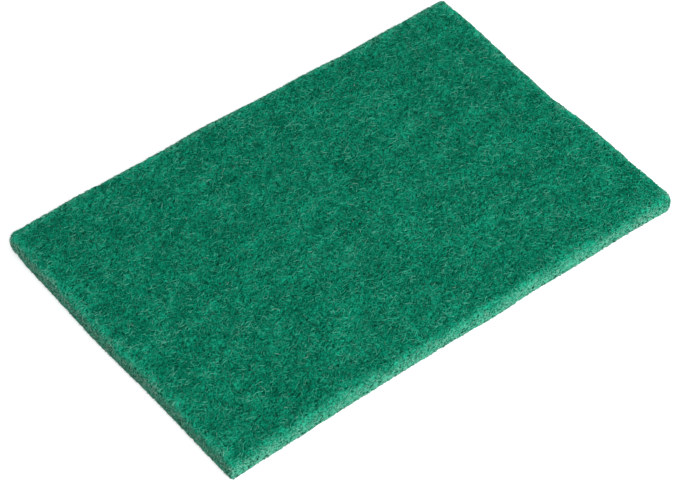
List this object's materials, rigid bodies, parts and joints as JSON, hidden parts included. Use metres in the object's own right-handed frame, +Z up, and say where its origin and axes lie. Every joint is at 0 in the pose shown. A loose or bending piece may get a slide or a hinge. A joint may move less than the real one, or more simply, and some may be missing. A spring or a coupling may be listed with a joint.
{
  "type": "nylon scouring pad",
  "caption": "Flat rectangular hand scouring pad of bonded green nylon fibre web, with softly cut edges, one slightly flared short side and an uneven fibrous face.",
  "frame": {"origin": "middle of the pad's box, on the underside that the pad rests on", "axes": "+X along the pad towards its flared short side, +Y across the pad towards its back long side, +Z up through its thickness"},
  "size_m": [0.1526, 0.1012, 0.0063],
  "materials": {
    "green_nylon_web": "matt open web of curly bonded nylon fibres, dark green in its hollows, paler where fibre ends show along the cut sides"
  },
  "bodies": {
    "root": {"scouring_pad": "green_nylon_web"}
  },
  "joints": []
}
